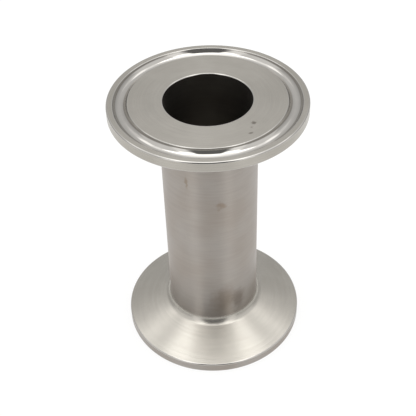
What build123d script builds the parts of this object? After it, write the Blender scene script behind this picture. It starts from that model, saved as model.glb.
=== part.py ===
"""Sanitary spool pipe: a short 1 in tube with a 50.5 mm clamp ferrule butt-welded to each end.

The two ferrules are turned from bar to one drawing, and the tube is a cut length of drawn tubing.
The three meet at square-cut weld ends of equal bore and wall. The welds are made without filler and
are dressed flush inside and outside, so no bead stands proud and the bore runs through unbroken.

Units are millimetres. +Z runs up the bore, and the origin is the centre of the lower sealing face,
on which the spool stands.
"""

import os
from math import radians, tan

from build123d import *

# Spool
SPOOL_LENGTH = 76.2  # from sealing face to sealing face
TUBE_DIAMETER = 25.4  # outside
TUBE_WALL = 1.5

# Clamp ferrule
FLANGE_DIAMETER = 50.5
RIM_THICKNESS = 2.85  # height of the flange's outer edge, from the sealing face to the clamp cone
CONE_ANGLE = 20.0  # slope of the clamp cone, in degrees from the sealing face
NECK_FILLET = 2.5  # radius where the clamp cone runs into the neck
FERRULE_HEIGHT = 12.7  # from the sealing face to the weld end

# Gasket groove: a round-bottomed ring in the sealing face
OUTER_LAND = 1.7  # flat between the groove and the flange's outer edge
GROOVE_WIDTH = 3.5  # across the mouth
GROOVE_DEPTH = 1.55

# Edge breaks, as radii
RIM_BREAK = 0.4
GROOVE_BREAK = 0.25
BORE_BREAK = 0.3

# Worked out from the sizes above
TUBE_RADIUS = TUBE_DIAMETER / 2
BORE_RADIUS = TUBE_RADIUS - TUBE_WALL
FLANGE_RADIUS = FLANGE_DIAMETER / 2
GROOVE_OUTER = FLANGE_RADIUS - OUTER_LAND
GROOVE_INNER = GROOVE_OUTER - GROOVE_WIDTH
GROOVE_CENTRE = (GROOVE_INNER + GROOVE_OUTER) / 2
CONE_TOP = RIM_THICKNESS + (FLANGE_RADIUS - TUBE_RADIUS) * tan(radians(CONE_ANGLE))
TUBE_LENGTH = SPOOL_LENGTH - 2 * FERRULE_HEIGHT


def corner(section, radius, height):
    """The corner of a half-section that stands at this radius and height."""
    return section.vertices().sort_by_distance((radius, height))[0]


# Lower ferrule: half of its section, turned about the bore's axis
with BuildPart() as lower_ferrule:
    with BuildSketch(Plane.XZ) as section:
        with BuildLine() as outline:
            Line((BORE_RADIUS, 0), (GROOVE_INNER, 0))
            ThreePointArc((GROOVE_INNER, 0), (GROOVE_CENTRE, GROOVE_DEPTH), (GROOVE_OUTER, 0))
            Polyline(
                (GROOVE_OUTER, 0),
                (FLANGE_RADIUS, 0),
                (FLANGE_RADIUS, RIM_THICKNESS),
                (TUBE_RADIUS, CONE_TOP),
                (TUBE_RADIUS, FERRULE_HEIGHT),
                (BORE_RADIUS, FERRULE_HEIGHT),
                (BORE_RADIUS, 0),
            )
        make_face()
        fillet(corner(section, TUBE_RADIUS, CONE_TOP), NECK_FILLET)
        fillet(corner(section, FLANGE_RADIUS, RIM_THICKNESS), RIM_BREAK)
        fillet(corner(section, FLANGE_RADIUS, 0), RIM_BREAK)
        fillet(corner(section, GROOVE_OUTER, 0), GROOVE_BREAK)
        fillet(corner(section, GROOVE_INNER, 0), GROOVE_BREAK)
        fillet(corner(section, BORE_RADIUS, 0), BORE_BREAK)
    revolve(axis=Axis.Z)
lower_ferrule.part.label = "lower_ferrule"

# Tube: a straight length between the two weld ends
with BuildPart() as tube:
    with BuildSketch(Plane.XY.offset(FERRULE_HEIGHT)):
        Circle(TUBE_RADIUS)
        Circle(BORE_RADIUS, mode=Mode.SUBTRACT)
    extrude(amount=TUBE_LENGTH)
tube.part.label = "tube"

# Upper ferrule: the same turned piece, the other way up at the far end
with BuildPart() as upper_ferrule:
    mirror(lower_ferrule.part, about=Plane.XY.offset(SPOOL_LENGTH / 2))
upper_ferrule.part.label = "upper_ferrule"

os.makedirs("parts", exist_ok=True)
for piece in (lower_ferrule, tube, upper_ferrule):
    export_step(piece.part, f"parts/{piece.part.label}.step")
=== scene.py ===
"""Sanitary spool pipe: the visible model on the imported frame.

A polished 1 in tube with a 50.5 mm clamp ferrule welded to each end, standing on a white floor in a
studio tent of soft light. Lengths are metres. +Z runs up the bore and the lower sealing face stands
on Z = 0.
"""

import logging
from dataclasses import dataclass, field, replace
from enum import Enum
from math import atan2, cos, hypot, pi, radians, sin, tan

import bpy
from mathutils import Matrix, Vector


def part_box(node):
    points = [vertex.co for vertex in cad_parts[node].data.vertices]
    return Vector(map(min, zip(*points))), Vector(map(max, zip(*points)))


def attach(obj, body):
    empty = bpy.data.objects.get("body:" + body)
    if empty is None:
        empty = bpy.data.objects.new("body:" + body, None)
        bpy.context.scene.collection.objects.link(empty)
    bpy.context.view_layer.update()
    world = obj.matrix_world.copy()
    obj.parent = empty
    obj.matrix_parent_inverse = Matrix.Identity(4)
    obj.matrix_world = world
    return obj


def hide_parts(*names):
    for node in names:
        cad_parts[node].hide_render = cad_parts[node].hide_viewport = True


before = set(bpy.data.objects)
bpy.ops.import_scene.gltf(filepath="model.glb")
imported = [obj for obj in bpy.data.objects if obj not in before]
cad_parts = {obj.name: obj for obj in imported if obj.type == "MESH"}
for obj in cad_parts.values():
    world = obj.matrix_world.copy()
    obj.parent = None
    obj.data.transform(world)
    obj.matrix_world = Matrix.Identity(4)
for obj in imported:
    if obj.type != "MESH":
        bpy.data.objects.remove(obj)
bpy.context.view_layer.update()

LOG = logging.getLogger("spool")
MM = 0.001
BODY = "root"
HOLD = 0.06 * MM  # how close to a corner a flat's shading is held

Point = tuple[float, float]


class Region(Enum):
    """The finishes that a piece carries, in the order of its material slots."""

    TURNED = 0
    BRIGHT = 1
    OUTSIDE = 2
    BORE = 3


# ---------------------------------------------------------------- colour and node helpers


def linear(hex_colour: str) -> tuple[float, float, float, float]:
    """Turns an sRGB hex colour into linear RGBA.

    Args:
        hex_colour: Six hex digits, with or without a leading hash sign.

    Returns:
        The red, green, blue and alpha values that a shader socket takes.
    """
    digits = hex_colour.lstrip("#")
    parts = [int(digits[i : i + 2], 16) / 255 for i in (0, 2, 4)]
    levels = [p / 12.92 if p <= 0.04045 else ((p + 0.055) / 1.055) ** 2.4 for p in parts]
    return (levels[0], levels[1], levels[2], 1.0)


def add(tree, kind: str, settings: dict | None = None, inputs: dict | None = None):
    """Adds a node with its settings and its inputs.

    Args:
        tree: The node tree that gets the node.
        kind: The node's type name.
        settings: Attributes of the node to set, by name.
        inputs: Values or output sockets by input name or number. A socket is linked.

    Returns:
        The new node.
    """
    node = tree.nodes.new(kind)
    for name, value in (settings or {}).items():
        setattr(node, name, value)
    for name, value in (inputs or {}).items():
        socket = node.inputs[name]
        if isinstance(value, bpy.types.NodeSocket):
            tree.links.new(value, socket)
        else:
            socket.default_value = value
    return node


def maths(tree, operation: str, first, second=0.0, third=0.0):
    """Adds a Math node of either kind of tree.

    Args:
        tree: The node tree.
        operation: The Math node's operation.
        first: The first value or socket.
        second: The second value or socket.
        third: The third value or socket.

    Returns:
        The node's output socket.
    """
    node = add(
        tree,
        "ShaderNodeMath",
        {"operation": operation},
        {0: first, 1: second, 2: third},
    )
    return node.outputs[0]


def ease(tree, value, start: float, end: float, low: float = 0.0, high: float = 1.0):
    """Adds a smooth step from low, at start, to high, at end.

    Args:
        tree: The node tree.
        value: The socket that drives the step.
        start: Where the step starts.
        end: Where the step ends.
        low: The result before the start.
        high: The result after the end.

    Returns:
        The result's socket.
    """
    node = add(
        tree,
        "ShaderNodeMapRange",
        {"interpolation_type": "SMOOTHSTEP"},
        {"Value": value, "From Min": start, "From Max": end, "To Min": low, "To Max": high},
    )
    return node.outputs["Result"]


def ramp(tree, value, stops: list[tuple[float, float]], top: float):
    """Adds a ramp of grey levels.

    Args:
        tree: The node tree.
        value: The socket that drives the ramp, from 0 to 1.
        stops: Pairs of place and level, in order.
        top: The highest level, which the ramp's levels are scaled by.

    Returns:
        The level's socket.
    """
    node = add(tree, "ShaderNodeValToRGB", inputs={"Fac": value})
    elements = node.color_ramp.elements
    for place, level in stops[1:-1]:
        grey = level / top
        elements.new(place).color = (grey, grey, grey, 1.0)
    for element, (place, level) in ((elements[0], stops[0]), (elements[-1], stops[-1])):
        grey = level / top
        element.position = place
        element.color = (grey, grey, grey, 1.0)
    return maths(tree, "MULTIPLY", node.outputs["Color"], top)


def blend(tree, factor, first, second):
    """Adds a mix of two numbers.

    Args:
        tree: The node tree.
        factor: 0 gives the first number and 1 the second.
        first: The first value or socket.
        second: The second value or socket.

    Returns:
        The mixed number's socket.
    """
    node = add(tree, "ShaderNodeMix", {"data_type": "FLOAT"}, {0: factor, 2: first, 3: second})
    return node.outputs[0]


def tint(tree, factor, first, second, mode: str = "MIX"):
    """Adds a mix of two colours.

    Args:
        tree: The node tree.
        factor: How much of the second colour counts, from 0 to 1.
        first: The first colour or socket.
        second: The second colour or socket.
        mode: The blend mode.

    Returns:
        The mixed colour's socket.
    """
    settings = {"data_type": "RGBA", "blend_type": mode}
    node = add(tree, "ShaderNodeMix", settings, {0: factor, 6: first, 7: second})
    return node.outputs[2]


# ---------------------------------------------------------------- finishes


@dataclass(frozen=True)
class Mark:
    """A small soft mark on the metal: a scuff, a smudge, or a patch of painted reflection.

    Attributes:
        place: The mark's centre, in millimetres.
        size: Its half-sizes along X, Y and Z, in millimetres.
        colour: The colour that the metal takes there.
        strength: How much of that colour shows at the centre.
        ragged: How far the edge wanders, in millimetres.
    """

    place: tuple[float, float, float]
    size: tuple[float, float, float]
    colour: str
    strength: float
    ragged: float = 0.3


@dataclass(frozen=True)
class Finish:
    """A finish of stainless steel with lines left by a tool that went round the axis.

    Attributes:
        name: The material's name.
        colour: The metal's colour seen square on.
        cloud: The colour that it drifts to in soft clouds.
        cloud_share: How much it drifts, from 0 to 1.
        cloud_size: The size of the clouds, in millimetres.
        line_pitch: The spacing of the lines round the axis, in millimetres.
        line_length: The length of a line, in millimetres.
        line_share: How much the lines darken the metal, from 0 to 1.
        line_depth: The height of the lines in the bump, in millimetres.
        roughness: The roughness of the surface.
        anisotropy: How much the lines stretch the reflections across them.
        marks: The scuffs, smudges and patches of painted reflection on it.
    """

    name: str
    colour: str
    cloud: str
    cloud_share: float
    cloud_size: float
    line_pitch: float
    line_length: float
    line_share: float
    line_depth: float
    roughness: float
    anisotropy: float
    marks: tuple[Mark, ...] = ()

    def material(self) -> bpy.types.Material:
        """Builds the material.

        Returns:
            The procedural material, in object coordinates.
        """
        made = bpy.data.materials.new(self.name)
        made.use_nodes = True
        tree = made.node_tree
        tree.nodes.clear()
        place = add(tree, "ShaderNodeTexCoord").outputs["Object"]
        lines = self._lines(tree, place)
        colour = self._colour(tree, place, lines)
        height = maths(tree, "MULTIPLY", lines, self.line_depth * MM)
        bump = add(
            tree,
            "ShaderNodeBump",
            inputs={"Strength": 1.0, "Distance": 1.0, "Height": height},
        )
        tangent = add(tree, "ShaderNodeTangent", {"direction_type": "RADIAL", "axis": "Z"})
        shader = add(
            tree,
            "ShaderNodeBsdfPrincipled",
            inputs={
                "Base Color": colour,
                "Metallic": 1.0,
                "Roughness": self.roughness,
                "Anisotropic": self.anisotropy,
                "Anisotropic Rotation": 0.25,
                "Tangent": tangent.outputs["Tangent"],
                "Normal": bump.outputs["Normal"],
            },
        )
        add(tree, "ShaderNodeOutputMaterial", inputs={"Surface": shader.outputs["BSDF"]})
        return made

    def _lines(self, tree, place):
        """Adds the tool lines: short arcs round the axis, one beside another.

        Args:
            tree: The material's node tree.
            place: The socket with the place on the object.

        Returns:
            The lines' level, from 0 to 1.
        """
        apart = add(tree, "ShaderNodeSeparateXYZ", inputs={"Vector": place}).outputs
        square = maths(tree, "MULTIPLY", apart["Y"], apart["Y"])
        radius = maths(tree, "SQRT", maths(tree, "MULTIPLY_ADD", apart["X"], apart["X"], square))
        across = maths(tree, "MULTIPLY_ADD", apart["Z"], 0.7, radius)
        stretched = add(
            tree,
            "ShaderNodeCombineXYZ",
            inputs={
                "X": maths(tree, "DIVIDE", across, self.line_pitch * MM),
                "Y": maths(tree, "DIVIDE", apart["X"], self.line_length * MM),
                "Z": maths(tree, "DIVIDE", apart["Y"], self.line_length * MM),
            },
        )
        noise = add(
            tree,
            "ShaderNodeTexNoise",
            inputs={"Vector": stretched.outputs[0], "Scale": 1.0, "Detail": 3.0},
        )
        return ease(tree, noise.outputs["Fac"], 0.3, 0.7)

    def _colour(self, tree, place, lines):
        """Adds the metal's colour with its clouds, lines and marks.

        Args:
            tree: The material's node tree.
            place: The socket with the place on the object.
            lines: The tool lines' level.

        Returns:
            The colour's socket.
        """
        noise = add(
            tree,
            "ShaderNodeTexNoise",
            inputs={"Vector": place, "Scale": 1 / (self.cloud_size * MM), "Detail": 2.0},
        )
        drift = ease(tree, noise.outputs["Fac"], 0.35, 0.65, 0.0, self.cloud_share)
        colour = tint(tree, drift, linear(self.colour), linear(self.cloud))
        shade = maths(tree, "MULTIPLY_ADD", lines, -self.line_share, 1.0)
        colour = tint(tree, 1.0, colour, shade, "MULTIPLY")
        for mark in self.marks:
            wander = add(
                tree,
                "ShaderNodeTexNoise",
                inputs={"Vector": place, "Scale": 0.4 / (max(mark.ragged, 0.3) * MM)},
            )
            shift = add(
                tree,
                "ShaderNodeVectorMath",
                {"operation": "MULTIPLY_ADD"},
                {
                    0: wander.outputs["Color"],
                    1: (4 * mark.ragged * MM,) * 3,
                    2: Vector(mark.place) * -MM - Vector((2 * mark.ragged * MM,) * 3),
                },
            )
            offset = add(
                tree,
                "ShaderNodeVectorMath",
                {"operation": "ADD"},
                {0: place, 1: shift.outputs[0]},
            )
            scaled = add(
                tree,
                "ShaderNodeVectorMath",
                {"operation": "DIVIDE"},
                {0: offset.outputs[0], 1: Vector(mark.size) * MM},
            )
            length = add(
                tree,
                "ShaderNodeVectorMath",
                {"operation": "LENGTH"},
                {0: scaled.outputs[0]},
            )
            amount = ease(tree, length.outputs["Value"], 0.2, 1.0, mark.strength, 0.0)
            colour = tint(tree, amount, colour, linear(mark.colour))
        return colour


# The ferrule's faces are turned to a fine, even lay and then lightly polished.
TURNED = Finish(
    name="fine turned stainless",
    colour="#B7B3AB",
    cloud="#AEAAA2",
    cloud_share=0.6,
    cloud_size=9.0,
    line_pitch=0.3,
    line_length=14.0,
    line_share=0.05,
    line_depth=0.001,
    roughness=0.27,
    anisotropy=0.8,
    marks=(
        Mark((10.6, -10.7, 76.2), (0.85, 0.6, 2.0), "#5E554E", 0.7, 0.5),
        Mark((9.7, -14.5, 76.2), (0.8, 0.55, 2.0), "#655C55", 0.6, 0.5),
        Mark((10.3, -12.1, 76.2), (0.65, 0.4, 2.0), "#756C64", 0.5, 0.5),
    ),
)

# The gasket groove is formed with a round tool and polished bright, and so are the broken edges.
POLISHED = Finish(
    name="polished groove stainless",
    colour="#BCB9B4",
    cloud="#B2AFAA",
    cloud_share=0.4,
    cloud_size=6.0,
    line_pitch=0.25,
    line_length=20.0,
    line_share=0.04,
    line_depth=0.0005,
    roughness=0.07,
    anisotropy=0.3,
)

# The tube and the dressed welds are polished round the axis with a fine belt.
SATIN = Finish(
    name="satin polished stainless tube",
    colour="#ACA6A0",
    cloud="#A49B92",
    cloud_share=0.7,
    cloud_size=14.0,
    line_pitch=0.35,
    line_length=7.0,
    line_share=0.06,
    line_depth=0.001,
    roughness=0.34,
    anisotropy=0.9,
    marks=(
        Mark((2.6, -12.4, 51.5), (2.6, 3.0, 1.6), "#86735F", 0.5, 0.8),
        Mark((-6.0, -11.2, 58.5), (0.7, 2.0, 2.6), "#86755F", 0.5, 0.5),
        # The next two marks are painted reflection: they darken the front of the tube's foot where
        # the lower flange's cone is reflected.
        Mark((2.8, -12.4, 16.0), (5.2, 4.0, 7.5), "#7A6D5F", 0.55, 0.8),
        Mark((7.2, -10.5, 14.5), (2.6, 3.0, 5.5), "#6A5E54", 0.5, 0.7),
    ),
)

# The bore keeps the drawn tube's smoother, darker inside.
DRAWN = Finish(
    name="drawn stainless bore",
    colour="#A09C96",
    cloud="#928E88",
    cloud_share=0.6,
    cloud_size=12.0,
    line_pitch=0.6,
    line_length=12.0,
    line_share=0.06,
    line_depth=0.002,
    roughness=0.3,
    anisotropy=0.3,
)

FINISHES = {
    Region.TURNED: TURNED,
    Region.BRIGHT: POLISHED,
    Region.OUTSIDE: SATIN,
    Region.BORE: DRAWN,
}


# ---------------------------------------------------------------- sections


def arc(centre: Point, radius: float, start: float, end: float, steps: int) -> list[Point]:
    """Points on an arc of a section.

    Args:
        centre: The arc's centre, as a radius and a height.
        radius: The arc's radius.
        start: The angle at which it starts, in radians.
        end: The angle at which it ends, in radians.
        steps: How many straight steps it has.

    Returns:
        The points from start to end, both included.
    """
    angles = [start + (end - start) * i / steps for i in range(steps + 1)]
    return [(centre[0] + radius * cos(a), centre[1] + radius * sin(a)) for a in angles]


def rounded(before: Point, corner: Point, after: Point, radius: float, steps: int) -> list[Point]:
    """Points on the fillet of a corner of a section.

    Args:
        before: The point before the corner.
        corner: The sharp corner.
        after: The point after the corner.
        radius: The fillet's radius.
        steps: How many straight steps the fillet has.

    Returns:
        The points of the fillet, both tangent points included.
    """
    middle = Vector(corner)
    first = (Vector(before) - middle).normalized()
    second = (Vector(after) - middle).normalized()
    half = first.angle(second) / 2
    centre = middle + (first + second).normalized() * (radius / sin(half))
    start = middle + first * (radius / tan(half)) - centre
    end = middle + second * (radius / tan(half)) - centre
    turn = atan2(start.x * end.y - start.y * end.x, start.dot(end))
    angle = atan2(start.y, start.x)
    return arc((centre.x, centre.y), radius, angle, angle + turn, steps)


def held(points: list[Point], reach: float) -> list[Point]:
    """Adds a point close to each end of every long step, so that flats shade flat.

    Args:
        points: The closed section's corners, in order.
        reach: How far from a step's end the new point stands.

    Returns:
        The points with the new ones between them.
    """
    out = []
    for i, point in enumerate(points):
        after = points[(i + 1) % len(points)]
        length = hypot(after[0] - point[0], after[1] - point[1])
        out.append(point)
        if length > 5 * reach:
            for share in (reach / length, 1 - reach / length):
                out.append(
                    (
                        point[0] + (after[0] - point[0]) * share,
                        point[1] + (after[1] - point[1]) * share,
                    )
                )
    return out


@dataclass
class FerruleSection:
    """Half of a clamp ferrule's section, with the sealing face at height 0.

    Attributes:
        height: From the sealing face to the weld end.
        flange_radius: The flange's outer radius.
        tube_radius: The neck's outer radius.
        bore_radius: The bore's radius.
        rim_height: The height of the flange's outer edge.
        cone_angle: The slope of the clamp cone from the sealing face.
        neck_fillet: The radius between the cone and the neck.
        outer_land: The flat between the groove and the outer edge.
        groove_width: The width of the groove's mouth.
        groove_depth: The depth of the groove.
        rim_break: The radius of the flange's edges.
        groove_break: The radius of the groove's lips.
        bore_break: The radius of the bore's mouth.
        rim: The finish of the flange's outer wall.
    """

    height: float
    flange_radius: float
    tube_radius: float
    bore_radius: float
    rim_height: float = 2.85 * MM
    cone_angle: float = radians(20.0)
    neck_fillet: float = 2.5 * MM
    outer_land: float = 1.7 * MM
    groove_width: float = 3.5 * MM
    groove_depth: float = 1.55 * MM
    rim_break: float = 0.4 * MM
    groove_break: float = 0.25 * MM
    bore_break: float = 0.3 * MM
    rim: Region = Region.TURNED

    @property
    def groove_outer(self) -> float:
        """The radius of the groove's outer lip."""
        return self.flange_radius - self.outer_land

    @property
    def groove_inner(self) -> float:
        """The radius of the groove's inner lip."""
        return self.groove_outer - self.groove_width

    @property
    def cone_top(self) -> float:
        """The height at which the cone would meet the neck."""
        return self.rim_height + (self.flange_radius - self.tube_radius) * tan(self.cone_angle)

    def groove(self) -> list[Point]:
        """Points of the round-bottomed groove with its broken lips, from inside to outside.

        Returns:
            The groove's points, as radii and heights.
        """
        half = self.groove_width / 2
        radius = (half**2 + self.groove_depth**2) / (2 * self.groove_depth)
        centre = ((self.groove_inner + self.groove_outer) / 2, self.groove_depth - radius)
        # A lip's arc touches the sealing face from above and the groove's arc from outside.
        lip = self.groove_break
        away = ((radius + lip) ** 2 - (lip - centre[1]) ** 2) ** 0.5
        lean = atan2(lip - centre[1], away)
        inner = arc((centre[0] - away, lip), lip, radians(-90), -lean, 5)
        floor = arc(centre, radius, radians(180) - lean, lean, 28)
        outer = arc((centre[0] + away, lip), lip, radians(180) + lean, radians(270), 5)
        return inner + floor[1:-1] + outer

    def points(self) -> list[Point]:
        """The closed section.

        Returns:
            Its points in order, as radii and heights.
        """
        mouth = (self.bore_radius, 0.0)
        foot = (self.flange_radius, 0.0)
        edge = (self.flange_radius, self.rim_height)
        bend = (self.tube_radius, self.cone_top)
        weld = (self.tube_radius, self.height)
        back = (self.bore_radius, self.height)
        outline = rounded(back, mouth, foot, self.bore_break, 6)
        outline += self.groove()
        outline += rounded(mouth, foot, edge, self.rim_break, 6)
        outline += rounded(foot, edge, bend, self.rim_break, 5)
        outline += rounded(edge, bend, weld, self.neck_fillet, 14)
        outline += [weld, back]
        return held(outline, HOLD)

    def region(self, radius: float, height: float) -> Region:
        """The finish at a place of the section.

        Args:
            radius: The place's radius.
            height: Its height above the sealing face.

        Returns:
            The finish there.
        """
        near = 0.02 * MM
        lip = 0.2 * MM
        inset = self.flange_radius - radius
        rise = self.rim_height - height
        if inset < near / 2 and self.rim_break < height < self.rim_height - self.rim_break:
            return self.rim
        if radius < self.bore_radius + 0.97 * self.bore_break and height < self.bore_break:
            return Region.BRIGHT
        if inset < 0.97 * self.rim_break and height < self.rim_break:
            return Region.BRIGHT
        if inset < 0.66 * self.rim_break and rise < 0.7 * self.rim_break:
            return Region.BRIGHT
        if radius < self.bore_radius + near:
            return Region.BORE
        in_groove = self.groove_inner - lip < radius < self.groove_outer + lip
        if in_groove and 0.0 < height < self.groove_depth + lip:
            return Region.BRIGHT
        if radius < self.tube_radius + near and height > self.cone_top:
            return Region.OUTSIDE
        return Region.TURNED


# ---------------------------------------------------------------- turned pieces


def turning_tree() -> bpy.types.NodeTree:
    """Builds the geometry nodes that turn a section about Z.

    The section's points stand in the XZ plane, in order. The tree lays a grid with a row for each
    point and a column for each step of the turn, and moves each grid point to its place.

    Returns:
        The node tree, with the inputs Section, Points, Steps and Material.
    """
    tree = bpy.data.node_groups.new("Turned piece", "GeometryNodeTree")
    sockets = tree.interface
    sockets.new_socket("Section", in_out="INPUT", socket_type="NodeSocketGeometry")
    sockets.new_socket("Points", in_out="INPUT", socket_type="NodeSocketInt")
    sockets.new_socket("Steps", in_out="INPUT", socket_type="NodeSocketInt")
    sockets.new_socket("Material", in_out="INPUT", socket_type="NodeSocketMaterial")
    sockets.new_socket("Geometry", in_out="OUTPUT", socket_type="NodeSocketGeometry")
    given = add(tree, "NodeGroupInput").outputs
    columns = maths(tree, "ADD", given["Steps"], 1.0)
    rows = maths(tree, "ADD", given["Points"], 1.0)
    grid = add(
        tree,
        "GeometryNodeMeshGrid",
        inputs={"Size X": 1.0, "Size Y": 1.0, "Vertices X": rows, "Vertices Y": columns},
    )
    index = add(tree, "GeometryNodeInputIndex").outputs[0]
    row = maths(tree, "FLOOR", maths(tree, "DIVIDE", index, columns))
    step = maths(tree, "MODULO", index, columns)
    angle = maths(tree, "MULTIPLY", maths(tree, "DIVIDE", step, given["Steps"]), radians(360))
    sample = add(
        tree,
        "GeometryNodeSampleIndex",
        {"data_type": "FLOAT_VECTOR"},
        {
            "Geometry": given["Section"],
            "Value": add(tree, "GeometryNodeInputPosition").outputs[0],
            "Index": maths(tree, "MODULO", row, given["Points"]),
        },
    )
    turned = add(
        tree,
        "ShaderNodeVectorRotate",
        {"rotation_type": "Z_AXIS"},
        {"Vector": sample.outputs[0], "Angle": angle},
    )
    moved = add(
        tree,
        "GeometryNodeSetPosition",
        inputs={"Geometry": grid.outputs["Mesh"], "Position": turned.outputs[0]},
    )
    joined = add(
        tree,
        "GeometryNodeMergeByDistance",
        inputs={"Geometry": moved.outputs[0], "Distance": 0.0005 * MM},
    )
    smooth = add(
        tree,
        "GeometryNodeSetShadeSmooth",
        inputs={"Geometry": joined.outputs[0], "Shade Smooth": True},
    )
    # The weld ends are the only square corners, and stay sharp.
    turn = add(tree, "GeometryNodeInputMeshEdgeAngle").outputs["Unsigned Angle"]
    edged = add(
        tree,
        "GeometryNodeSetShadeSmooth",
        {"domain": "EDGE"},
        {"Geometry": smooth.outputs[0], "Shade Smooth": maths(tree, "LESS_THAN", turn, radians(60))},
    )
    real = add(tree, "GeometryNodeRealizeInstances", inputs={"Geometry": edged.outputs[0]})
    faced = add(
        tree,
        "GeometryNodeSetMaterial",
        inputs={"Geometry": real.outputs[0], "Material": given["Material"]},
    )
    add(tree, "NodeGroupOutput", inputs={"Geometry": faced.outputs[0]})
    return tree


@dataclass
class TurnedPiece:
    """A piece turned about the bore's axis.

    Attributes:
        node: The CAD node that it replaces.
        slot: The record's material slot, which is not used.
        points: Its closed section, as radii and heights.
        tree: The turning tree.
        materials: The finished materials, by region.
        steps: How many steps go round it.
    """

    node: str
    slot: str
    points: list[Point]
    tree: bpy.types.NodeTree
    materials: dict[Region, bpy.types.Material]
    steps: int = 240

    def build(self, region_at) -> bpy.types.Object:
        """Makes the piece as a plain mesh and seats it on the frame.

        Args:
            region_at: Gives the finish at a radius and a height.

        Returns:
            The finished object.
        """
        section = bpy.data.meshes.new(f"{self.node} section")
        section.from_pydata([(r, 0.0, z) for r, z in self.points], [], [])
        piece = bpy.data.objects.new(f"{self.node}_turned", section)
        bpy.context.scene.collection.objects.link(piece)
        modifier = piece.modifiers.new("Turned piece", "NODES")
        modifier.node_group = self.tree
        values = {
            "Points": len(self.points),
            "Steps": self.steps,
            "Material": self.materials[Region.TURNED],
        }
        for item in self.tree.interface.items_tree:
            if item.in_out == "INPUT" and item.name in values:
                modifier[item.identifier] = values[item.name]
        graph = bpy.context.evaluated_depsgraph_get()
        mesh = bpy.data.meshes.new_from_object(piece.evaluated_get(graph))
        piece.modifiers.remove(modifier)
        piece.data = mesh
        mesh.name = f"{self.node}_mesh"
        self._face_finishes(mesh, region_at)
        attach(piece, BODY)
        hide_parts(self.node)
        LOG.info("%s: %d faces", self.node, len(mesh.polygons))
        return piece

    def _face_finishes(self, mesh: bpy.types.Mesh, region_at) -> None:
        """Gives each face its finish, and turns the faces outward.

        Args:
            mesh: The piece's mesh.
            region_at: Gives the finish at a radius and a height.
        """
        mesh.materials.clear()
        used = {}
        for face in mesh.polygons:
            x, y, z = face.center
            region = region_at(hypot(x, y), z)
            if region not in used:
                used[region] = len(used)
                mesh.materials.append(self.materials[region])
            face.material_index = used[region]
        volume = sum(face.center.dot(face.normal) * face.area for face in mesh.polygons)
        if volume < 0:
            mesh.flip_normals()


@dataclass
class Spool:
    """The welded spool: a tube between two clamp ferrules.

    Attributes:
        wall: The wall of the tube and of the ferrules' necks.
        pieces: The finished pieces.
    """

    wall: float = 1.5 * MM
    pieces: list[bpy.types.Object] = field(default_factory=list)

    def build(self) -> None:
        """Makes the three pieces in the places of their CAD nodes."""
        low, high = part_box("lower_ferrule")
        tube_low, tube_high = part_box("tube")
        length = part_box("upper_ferrule")[1][2]
        tube_radius = (tube_high[0] - tube_low[0]) / 2
        section = FerruleSection(
            height=high[2] - low[2],
            flange_radius=(high[0] - low[0]) / 2,
            tube_radius=tube_radius,
            bore_radius=tube_radius - self.wall,
        )
        tree = turning_tree()
        materials = {region: finish.material() for region, finish in FINISHES.items()}
        # The lower rim takes the tube's darker finish, which paints the shade that falls on it next
        # to the floor.
        shaded_lower_section = replace(section, rim=Region.OUTSIDE)
        lower = section.points()
        upper = [(r, length - z) for r, z in lower]
        bore = tube_radius - self.wall
        straight = [
            (bore, tube_low[2]),
            (tube_radius, tube_low[2]),
            (tube_radius, tube_high[2]),
            (bore, tube_high[2]),
        ]

        def upper_region(radius: float, height: float) -> Region:
            return section.region(radius, length - height)

        def tube_region(radius: float, _height: float) -> Region:
            return Region.OUTSIDE if radius > tube_radius - self.wall / 2 else Region.BORE

        jobs = (
            ("lower_ferrule", "turned_stainless", lower, shaded_lower_section.region),
            ("upper_ferrule", "turned_stainless", upper, upper_region),
            ("tube", "satin_stainless", held(straight, HOLD), tube_region),
        )
        for node, slot, points, region_at in jobs:
            piece = TurnedPiece(node, slot, points, tree, materials)
            self.pieces.append(piece.build(region_at))


# ---------------------------------------------------------------- studio


@dataclass(frozen=True)
class Panel:
    """A patch of the tent, the same to the left and to the right.

    Attributes:
        bearing: Where it starts and ends, in degrees round from the camera's side.
        rise: Where it starts and ends, in degrees above the horizon.
        level: How bright it is, where 1 is white.
        soft: Half the width of its soft edge, in degrees.
    """

    bearing: tuple[float, float]
    rise: tuple[float, float]
    level: float
    soft: float


# The tent's level by height above the horizon, in degrees, where no panel is.
TENT_TOP = 3.0  # the level at which the ramp's white stands
TENT_LIGHT = ((0, 0.45), (20, 0.68), (34, 0.8), (50, 0.95), (60, 1.2), (70, 1.6), (90, 2.4))
PANELS = (
    # White side walls
    Panel((28, 98), (14, 52), 1.1, 4),
    Panel((60, 150), (37, 62), 1.1, 3),
    # Lamps above and behind
    Panel((108, 150), (47.5, 57), 2.0, 1.5),
    Panel((100, 150), (57, 62), 1.6, 1.5),
    # Lamps above the sides
    Panel((50, 118), (62.5, 75.5), 3.0, 1.2),
    # A lamp above the camera
    Panel((-9, 50), (46, 82), 2.7, 4),
    # The edges of the open front
    Panel((30, 48), (-9, 40), 1.4, 4),
    # The open front, where the camera looks in
    Panel((-9, 24), (-9, 64), 0.2, 4),
)


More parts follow.
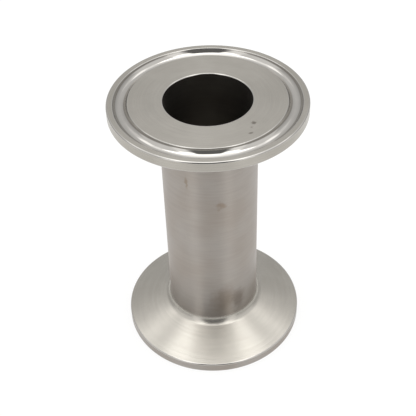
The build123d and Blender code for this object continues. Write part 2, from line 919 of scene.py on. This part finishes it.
@dataclass
class Studio:
    """A white floor in a tent of soft light, with a darker gap round the camera.

    Attributes:
        floor_size: The width of the floor.
        floor_front: How far the floor reaches in front of the spool.
        floor_colour: The floor's colour.
        shadow_share: How much of the floor's shading shows.
        floor_white: The white's strength, which makes it and the shading add up to 1.
    """

    floor_size: float = 6.0
    floor_front: float = 260 * MM
    floor_colour: str = "#E4E3E1"
    shadow_share: float = 0.2
    floor_white: float = 1.06

    def build(self) -> None:
        """Makes the floor and the tent."""
        self._floor()
        self._tent()

    def _floor(self) -> None:
        """Lays the floor just under the spool."""
        half = self.floor_size / 2
        drop = -0.01 * MM
        corners = [(x, y, drop) for y in (-self.floor_front, half) for x in (-half, half)]
        mesh = bpy.data.meshes.new("floor")
        mesh.from_pydata(corners, [], [(0, 1, 3, 2)])
        floor = bpy.data.objects.new("floor", mesh)
        bpy.context.scene.collection.objects.link(floor)
        # Matt white acrylic, which the camera and the steel see as white but for part of the shadow.
        paint = bpy.data.materials.new("white floor")
        paint.use_nodes = True
        tree = paint.node_tree
        tree.nodes.clear()
        matt = add(tree, "ShaderNodeBsdfDiffuse", inputs={"Color": linear(self.floor_colour)})
        white = add(tree, "ShaderNodeEmission", inputs={"Strength": self.floor_white})
        path = add(tree, "ShaderNodeLightPath").outputs
        seen = maths(tree, "MAXIMUM", path["Is Camera Ray"], path["Is Glossy Ray"])
        seen = maths(tree, "MAXIMUM", seen, path["Is Transmission Ray"])
        share = maths(tree, "MULTIPLY", seen, 1 - self.shadow_share)
        mixed = add(
            tree,
            "ShaderNodeMixShader",
            inputs={0: share, 1: matt.outputs[0], 2: white.outputs[0]},
        )
        add(tree, "ShaderNodeOutputMaterial", inputs={"Surface": mixed.outputs[0]})
        mesh.materials.append(paint)

    def _tent(self) -> None:
        """Lights the scene by direction: bright high sides, a plainer back and a dim front."""
        world = bpy.data.worlds.new("studio tent")
        bpy.context.scene.world = world
        world.use_nodes = True
        tree = world.node_tree
        tree.nodes.clear()
        way = add(tree, "ShaderNodeTexCoord").outputs["Generated"]
        apart = add(tree, "ShaderNodeSeparateXYZ", inputs={"Vector": way}).outputs
        rise = maths(tree, "DIVIDE", maths(tree, "ARCSINE", apart["Z"]), radians(90))
        rise = maths(tree, "MAXIMUM", rise, 0.0)
        ahead = maths(tree, "MULTIPLY", apart["Y"], -1.0)
        bearing = maths(tree, "ABSOLUTE", maths(tree, "ARCTAN2", apart["X"], ahead))
        level = ramp(tree, rise, [(d / 90, value) for d, value in TENT_LIGHT], TENT_TOP)
        height = maths(tree, "MULTIPLY", rise, 90.0)
        bearing = maths(tree, "MULTIPLY", bearing, 180 / pi)
        for panel in PANELS:
            inside = 1.0
            for angle, (start, end) in ((bearing, panel.bearing), (height, panel.rise)):
                for edge, way_in in ((start, 1.0), (end, -1.0)):
                    near, far = edge - way_in * panel.soft, edge + way_in * panel.soft
                    inside = maths(tree, "MULTIPLY", inside, ease(tree, angle, near, far))
            level = blend(tree, inside, level, panel.level)
        seen = add(tree, "ShaderNodeLightPath").outputs["Is Camera Ray"]
        # Only the camera sees plain white here, as the steel has to reflect the tent itself.
        level = blend(tree, seen, level, 1.0)
        light = add(tree, "ShaderNodeBackground", inputs={"Strength": level})
        light.inputs["Color"].default_value = linear("#FFFFFF")
        add(tree, "ShaderNodeOutputWorld", inputs={"Surface": light.outputs[0]})


@dataclass
class SpoolCamera:
    """The camera, placed by its position and its three turns.

    Attributes:
        place: The camera's position.
        heading: Its turn about the vertical, in degrees.
        pitch: How far it looks down, in degrees.
        roll: Its turn about its own axis, in degrees.
        lens: The focal length, in millimetres.
        sensor: The sensor's width, in millimetres.
    """

    place: tuple[float, float, float] = (0.0, -174.15 * MM, 196.49 * MM)
    heading: float = -0.276
    pitch: float = 41.967
    roll: float = -1.932
    lens: float = 73.61
    sensor: float = 36.0

    def build(self) -> None:
        """Makes the camera and gives it to the scene."""
        yaw, pitch, roll = map(radians, (self.heading, self.pitch, self.roll))
        forward = Vector((sin(yaw) * cos(pitch), cos(yaw) * cos(pitch), -sin(pitch)))
        level = Vector((cos(yaw), -sin(yaw), 0.0))
        above = level.cross(forward)
        right = level * cos(roll) + above * sin(roll)
        up = above * cos(roll) - level * sin(roll)
        data = bpy.data.cameras.new("camera")
        data.lens = self.lens
        data.sensor_width = self.sensor
        data.clip_start = 0.01
        data.clip_end = 20.0
        camera = bpy.data.objects.new("camera", data)
        turn = Matrix((right, up, -forward)).transposed().to_4x4()
        camera.matrix_world = Matrix.Translation(self.place) @ turn
        bpy.context.scene.collection.objects.link(camera)
        bpy.context.scene.camera = camera


def main() -> None:
    """Builds the spool, its studio and its camera."""
    logging.basicConfig(level=logging.INFO)
    bpy.context.scene.view_settings.view_transform = "Standard"
    Spool().build()
    Studio().build()
    SpoolCamera().build()


if __name__ == "__main__":
    main()
